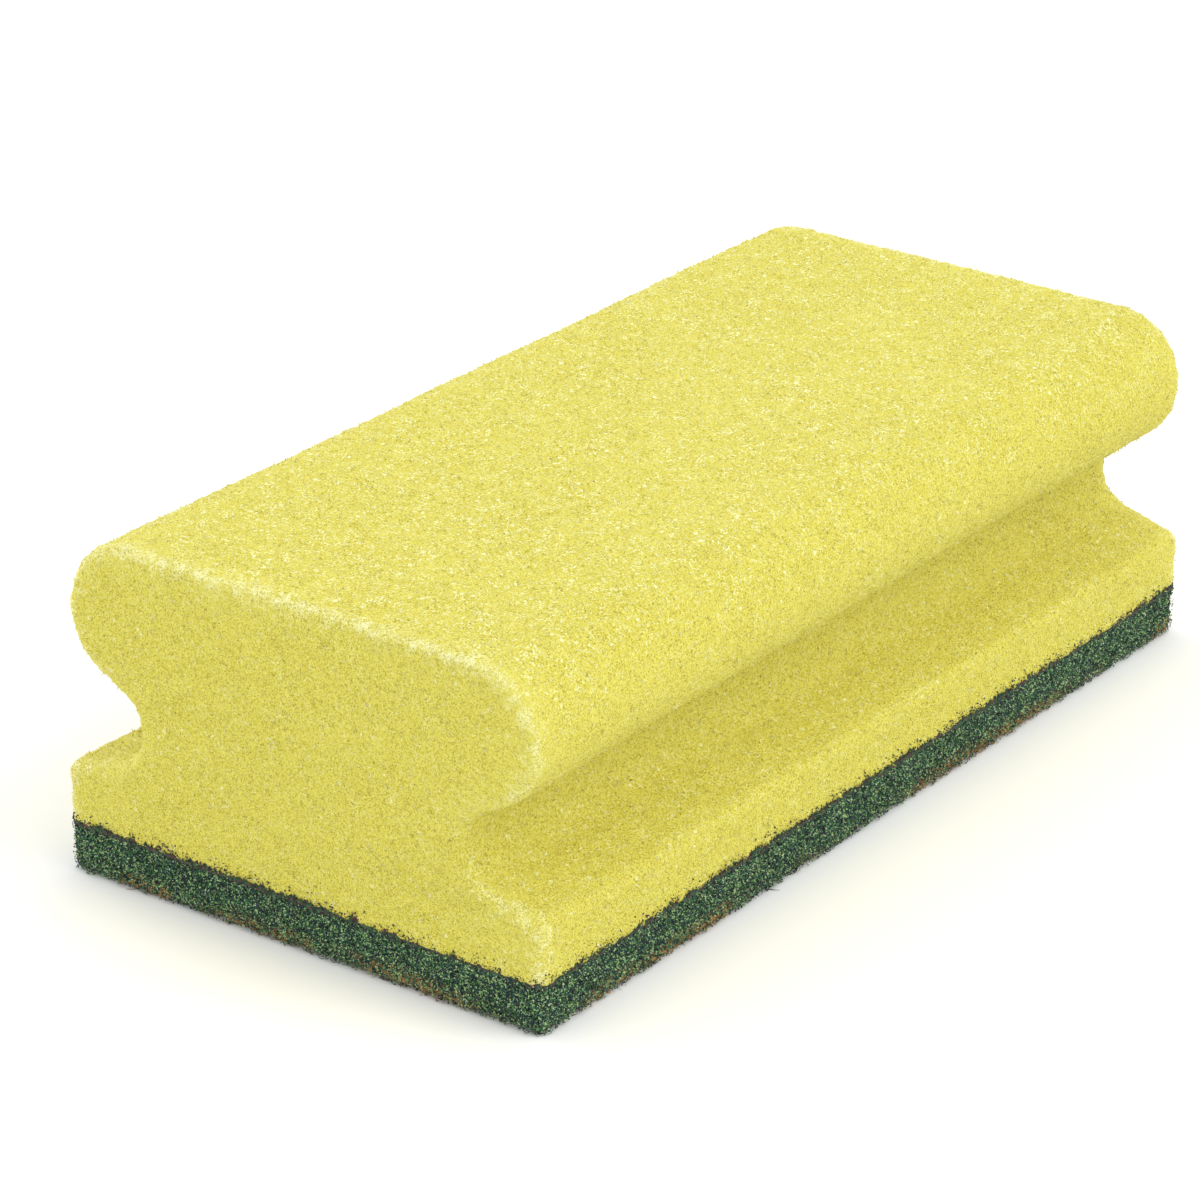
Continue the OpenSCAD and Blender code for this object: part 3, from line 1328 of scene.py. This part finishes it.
    def build(self) -> None:
        """Makes and dresses the pad's four pieces."""
        material = self.finish.material()
        web = self.web().dressed("pad_web", material, Slot.FIBRE_PAD)
        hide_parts("scouring_pad")
        for batch in self.batches:
            self.fibres(batch).dressed(f"pad_{batch.lay.value}_fibres", material, Slot.FIBRE_PAD)
        self.grit().dressed("pad_grit", material, Slot.FIBRE_PAD)


@dataclass(frozen=True)
class Lamp:
    """A square soft light that points at the sponge."""

    name: str
    azimuth: float
    elevation: float
    distance: float
    size: float
    power: float

    def hang(self, target: Vector) -> None:
        """Hangs the lamp and points it at a place.

        Args:
            target: the place.
        """
        data = bpy.data.lights.new(self.name, "AREA")
        data.energy = self.power
        data.size = self.size
        way = bearing(self.azimuth, self.elevation)
        lamp = linked(self.name, data)
        lamp.location = target + way * self.distance
        lamp.rotation_euler = way.to_track_quat("Z", "Y").to_euler()


@dataclass(frozen=True)
class PhotoView:
    """The camera of the photograph."""

    azimuth: float = -54.10
    elevation: float = 23.86
    roll: float = 0.52
    distance: float = 618.27 * MM
    right: float = -6.51 * MM
    above: float = 17.99 * MM
    focal_px: float = 4913.0
    frame_px: float = 1200.0
    sensor_mm: float = 36.0
    clip_start: float = 10 * MM

    def build(self) -> None:
        """Sets the camera up and makes it the scene's own."""
        turn, roll = math.radians(self.azimuth), math.radians(self.roll)
        back = bearing(self.azimuth, self.elevation)
        level = Vector((math.cos(turn), math.sin(turn), 0.0))
        upright = back.cross(level)
        right = level * math.cos(roll) + upright * math.sin(roll)
        up = upright * math.cos(roll) - level * math.sin(roll)
        place = back * self.distance + right * self.right + up * self.above
        data = bpy.data.cameras.new("photo_camera")
        data.sensor_width = self.sensor_mm
        data.lens = self.focal_px / self.frame_px * self.sensor_mm
        data.clip_start = self.clip_start
        camera = linked("photo_camera", data)
        camera.matrix_world = Matrix.Translation(place) @ Matrix((right, up, back)).transposed().to_4x4()
        bpy.context.scene.camera = camera
        log.info("camera: lens %.1f mm", data.lens)


@dataclass
class Studio:
    """The floor, the lamps and the pale surroundings."""

    finish: FloorFinish = field(default_factory=FloorFinish)
    floor_side: float = 8.0
    surround: float = 1.05
    aim: float = 20 * MM
    lamps: tuple[Lamp, ...] = (
        Lamp("key_lamp", azimuth=10.0, elevation=48.0, distance=0.9, size=0.5, power=2.4),
        Lamp("end_fill_lamp", azimuth=-110.0, elevation=30.0, distance=1.2, size=0.8, power=0.45),
        Lamp("far_side_lamp", azimuth=180.0, elevation=18.0, distance=1.2, size=0.8, power=4.6),
    )

    def build(self) -> None:
        """Lays the floor, hangs the lamps and lights the surroundings."""
        half = self.floor_side / 2
        mesh = bpy.data.meshes.new("studio_floor")
        corners = [(-half, -half, 0.0), (half, -half, 0.0), (half, half, 0.0), (-half, half, 0.0)]
        mesh.from_pydata(corners, [], [(0, 1, 2, 3)])
        floor = linked("studio_floor", mesh)
        floor.data.materials.append(self.finish.material())
        for lamp in self.lamps:
            lamp.hang(Vector((0.0, 0.0, self.aim)))
        world = bpy.data.worlds.new("studio_surround")
        world.use_nodes = True
        light = world.node_tree.nodes["Background"]
        light.inputs["Color"].default_value = (1.0, 1.0, 1.0, 1.0)
        light.inputs["Strength"].default_value = self.surround
        bpy.context.scene.world = world
        bpy.context.scene.view_settings.view_transform = "Standard"


def main() -> None:
    """Builds the camera, the studio and the sponge."""
    logging.basicConfig(level=logging.INFO, format="%(name)s: %(message)s")
    PhotoView().build()
    Studio().build()
    FoamBlock().build()
    AdhesiveBead().build()
    ScouringPad().build()


if __name__ == "__main__":
    main()
